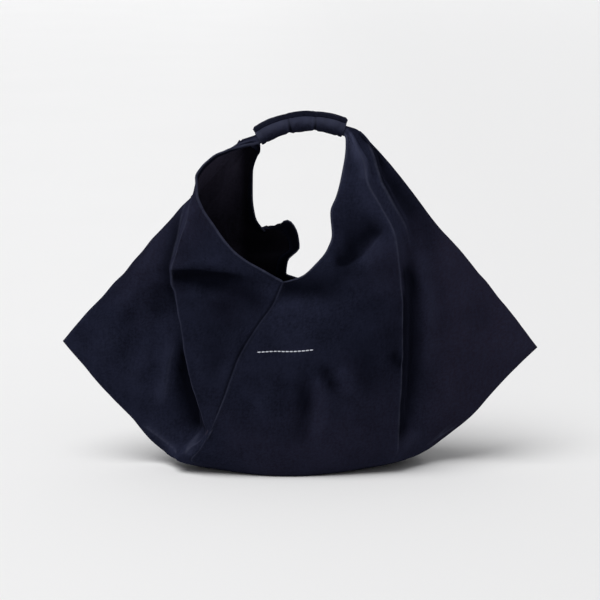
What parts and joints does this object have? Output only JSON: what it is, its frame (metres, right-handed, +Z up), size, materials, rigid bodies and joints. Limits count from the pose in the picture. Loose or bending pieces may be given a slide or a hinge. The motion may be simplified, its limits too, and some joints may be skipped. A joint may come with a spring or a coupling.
{
  "type": "tote bag",
  "caption": "Slouchy navy cloth tote with two pointed side wings, a slanting front seam, notched mouth and one gathered top handle in a short cloth wrap.",
  "frame": {"origin": "On the floor, under the middle of the bag's flat base, which is also the middle of its width and depth.", "axes": "+X to the bag's right wing seen from its front, +Y to the back of the bag, +Z up to the handle."},
  "size_m": [0.52, 0.1656, 0.3911],
  "materials": {
    "navy_cloth": "matte",
    "dark_lining": "matte"
  },
  "bodies": {
    "root": {"left_panel": "navy_cloth", "right_panel": "navy_cloth", "lining": "dark_lining", "front_facing": "navy_cloth", "back_facing": "navy_cloth", "handle_wrap": "navy_cloth"}
  },
  "joints": []
}
